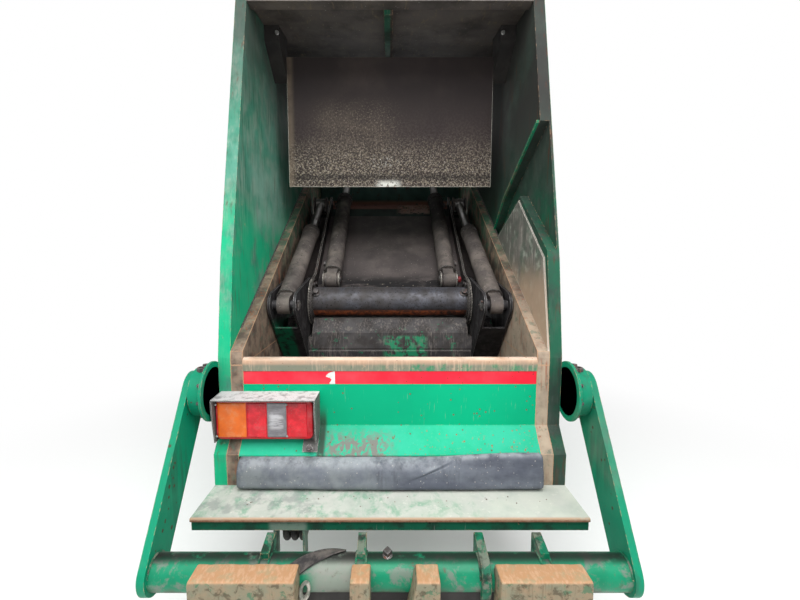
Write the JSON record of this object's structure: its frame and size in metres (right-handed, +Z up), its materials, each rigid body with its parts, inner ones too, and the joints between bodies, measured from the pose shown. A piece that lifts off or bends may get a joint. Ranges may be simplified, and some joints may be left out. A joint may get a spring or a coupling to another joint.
{
  "type": "rear loader tailgate",
  "caption": "Rear loader tailgate of a refuse truck: hopper, sliding carriage with hinged packer blade on cylinders, tail lamp, rubber buffer and swinging bin lift.",
  "frame": {"origin": "middle of the top hinge's axis, between its two lugs", "axes": "+X right seen from behind, +Y forward to the truck's body, +Z up"},
  "size_m": [1.586, 2.7218, 2.66],
  "materials": {
    "green_paint": "worn green paint",
    "grimy_green": "green paint under dark grime",
    "grimy_steel": "dark steel, oily and dusty",
    "worn_steel": "bare steel rubbed and rusted",
    "rod_steel": "dull plated rod",
    "rubber": "dusty black rubber",
    "lamp_red": "red ribbed lens",
    "lamp_clear": "clear ribbed lens",
    "lamp_amber": "amber ribbed lens",
    "lamp_body": "dark moulded housing"
  },
  "bodies": {
    "root": {"left_side_wall": "green_paint", "right_side_wall": "green_paint", "right_wear_plate": "grimy_green", "left_guide_rail": "worn_steel", "right_guide_rail": "worn_steel", "hopper_side_plates": "worn_steel", "hopper_trough": "worn_steel", "rear_sill": "green_paint", "sill_lip": "worn_steel", "roof_panel": "grimy_green", "rear_header": "grimy_green", "roof_centre_rib": "green_paint", "upper_crossmember": "grimy_green", "lower_crossmember": "green_paint", "lock_lugs": "green_paint", "body_seal": "rubber", "mechanism_shield": "grimy_steel", "shield_hangers": "grimy_steel", "tail_lamp_housing": "lamp_body", "tail_lamp_red_lenses": "lamp_red", "tail_lamp_clear_lens": "lamp_clear", "tail_lamp_amber_lens": "lamp_amber", "tail_lamp_guard": "grimy_steel", "buffer_roll": "rubber", "buffer_ledge": "worn_steel", "ledge_beam": "green_paint", "top_hinge": "green_paint", "raise_pins": "green_paint", "lift_actuators": "grimy_steel", "carriage_cylinder_rods": "rod_steel", "hose_loops": "rubber"},
    "carriage": {"carriage_frame": "grimy_steel", "carriage_side_plates": "grimy_steel", "blade_hinge_tube": "grimy_steel", "guide_shoes": "worn_steel", "carriage_cylinder_barrels": "grimy_steel", "cylinder_clevises": "grimy_steel", "blade_cylinder_brackets": "grimy_steel"},
    "blade": {"packer_blade": "grimy_steel", "blade_arms": "green_paint"},
    "blade_barrels": {"blade_cylinder_barrels": "grimy_steel"},
    "blade_rods": {"blade_cylinder_rods": "rod_steel"},
    "lift": {"lift_tube": "green_paint", "lift_arms": "green_paint", "lift_hooks": "green_paint", "lift_comb": "worn_steel"}
  },
  "joints": [
    {"name": "carriage_slide", "type": "slide", "parent": "root", "child": "carriage", "axis": [0, 0.809, 0.5878], "range_m": [-0.2, 0.4]},
    {"name": "blade_swing", "type": "hinge", "parent": "carriage", "child": "blade", "pos_m": [0, -1.38, -1.7], "axis": [1, 0, 0], "range_deg": [-60, 15]},
    {"name": "blade_barrel_swing", "type": "hinge", "parent": "blade", "child": "blade_barrels", "pos_m": [0, -1.72, -1.68], "axis": [1, 0, 0], "range_deg": [-13, 51]},
    {"name": "blade_rod_slide", "type": "slide", "parent": "blade_barrels", "child": "blade_rods", "axis": [0, 0.8827, 0.47], "range_m": [-0.27, 0.07]},
    {"name": "lift_swing", "type": "hinge", "parent": "root", "child": "lift", "pos_m": [0, -2.1798, -1.97], "axis": [-1, 0, 0], "range_deg": [0, 130]}
  ],
  "couplings": [
    {"joint": "blade_barrel_swing", "follows": "blade_swing", "ratio": -0.832},
    {"joint": "blade_rod_slide", "follows": "blade_swing", "m_per_rad": 0.249}
  ]
}
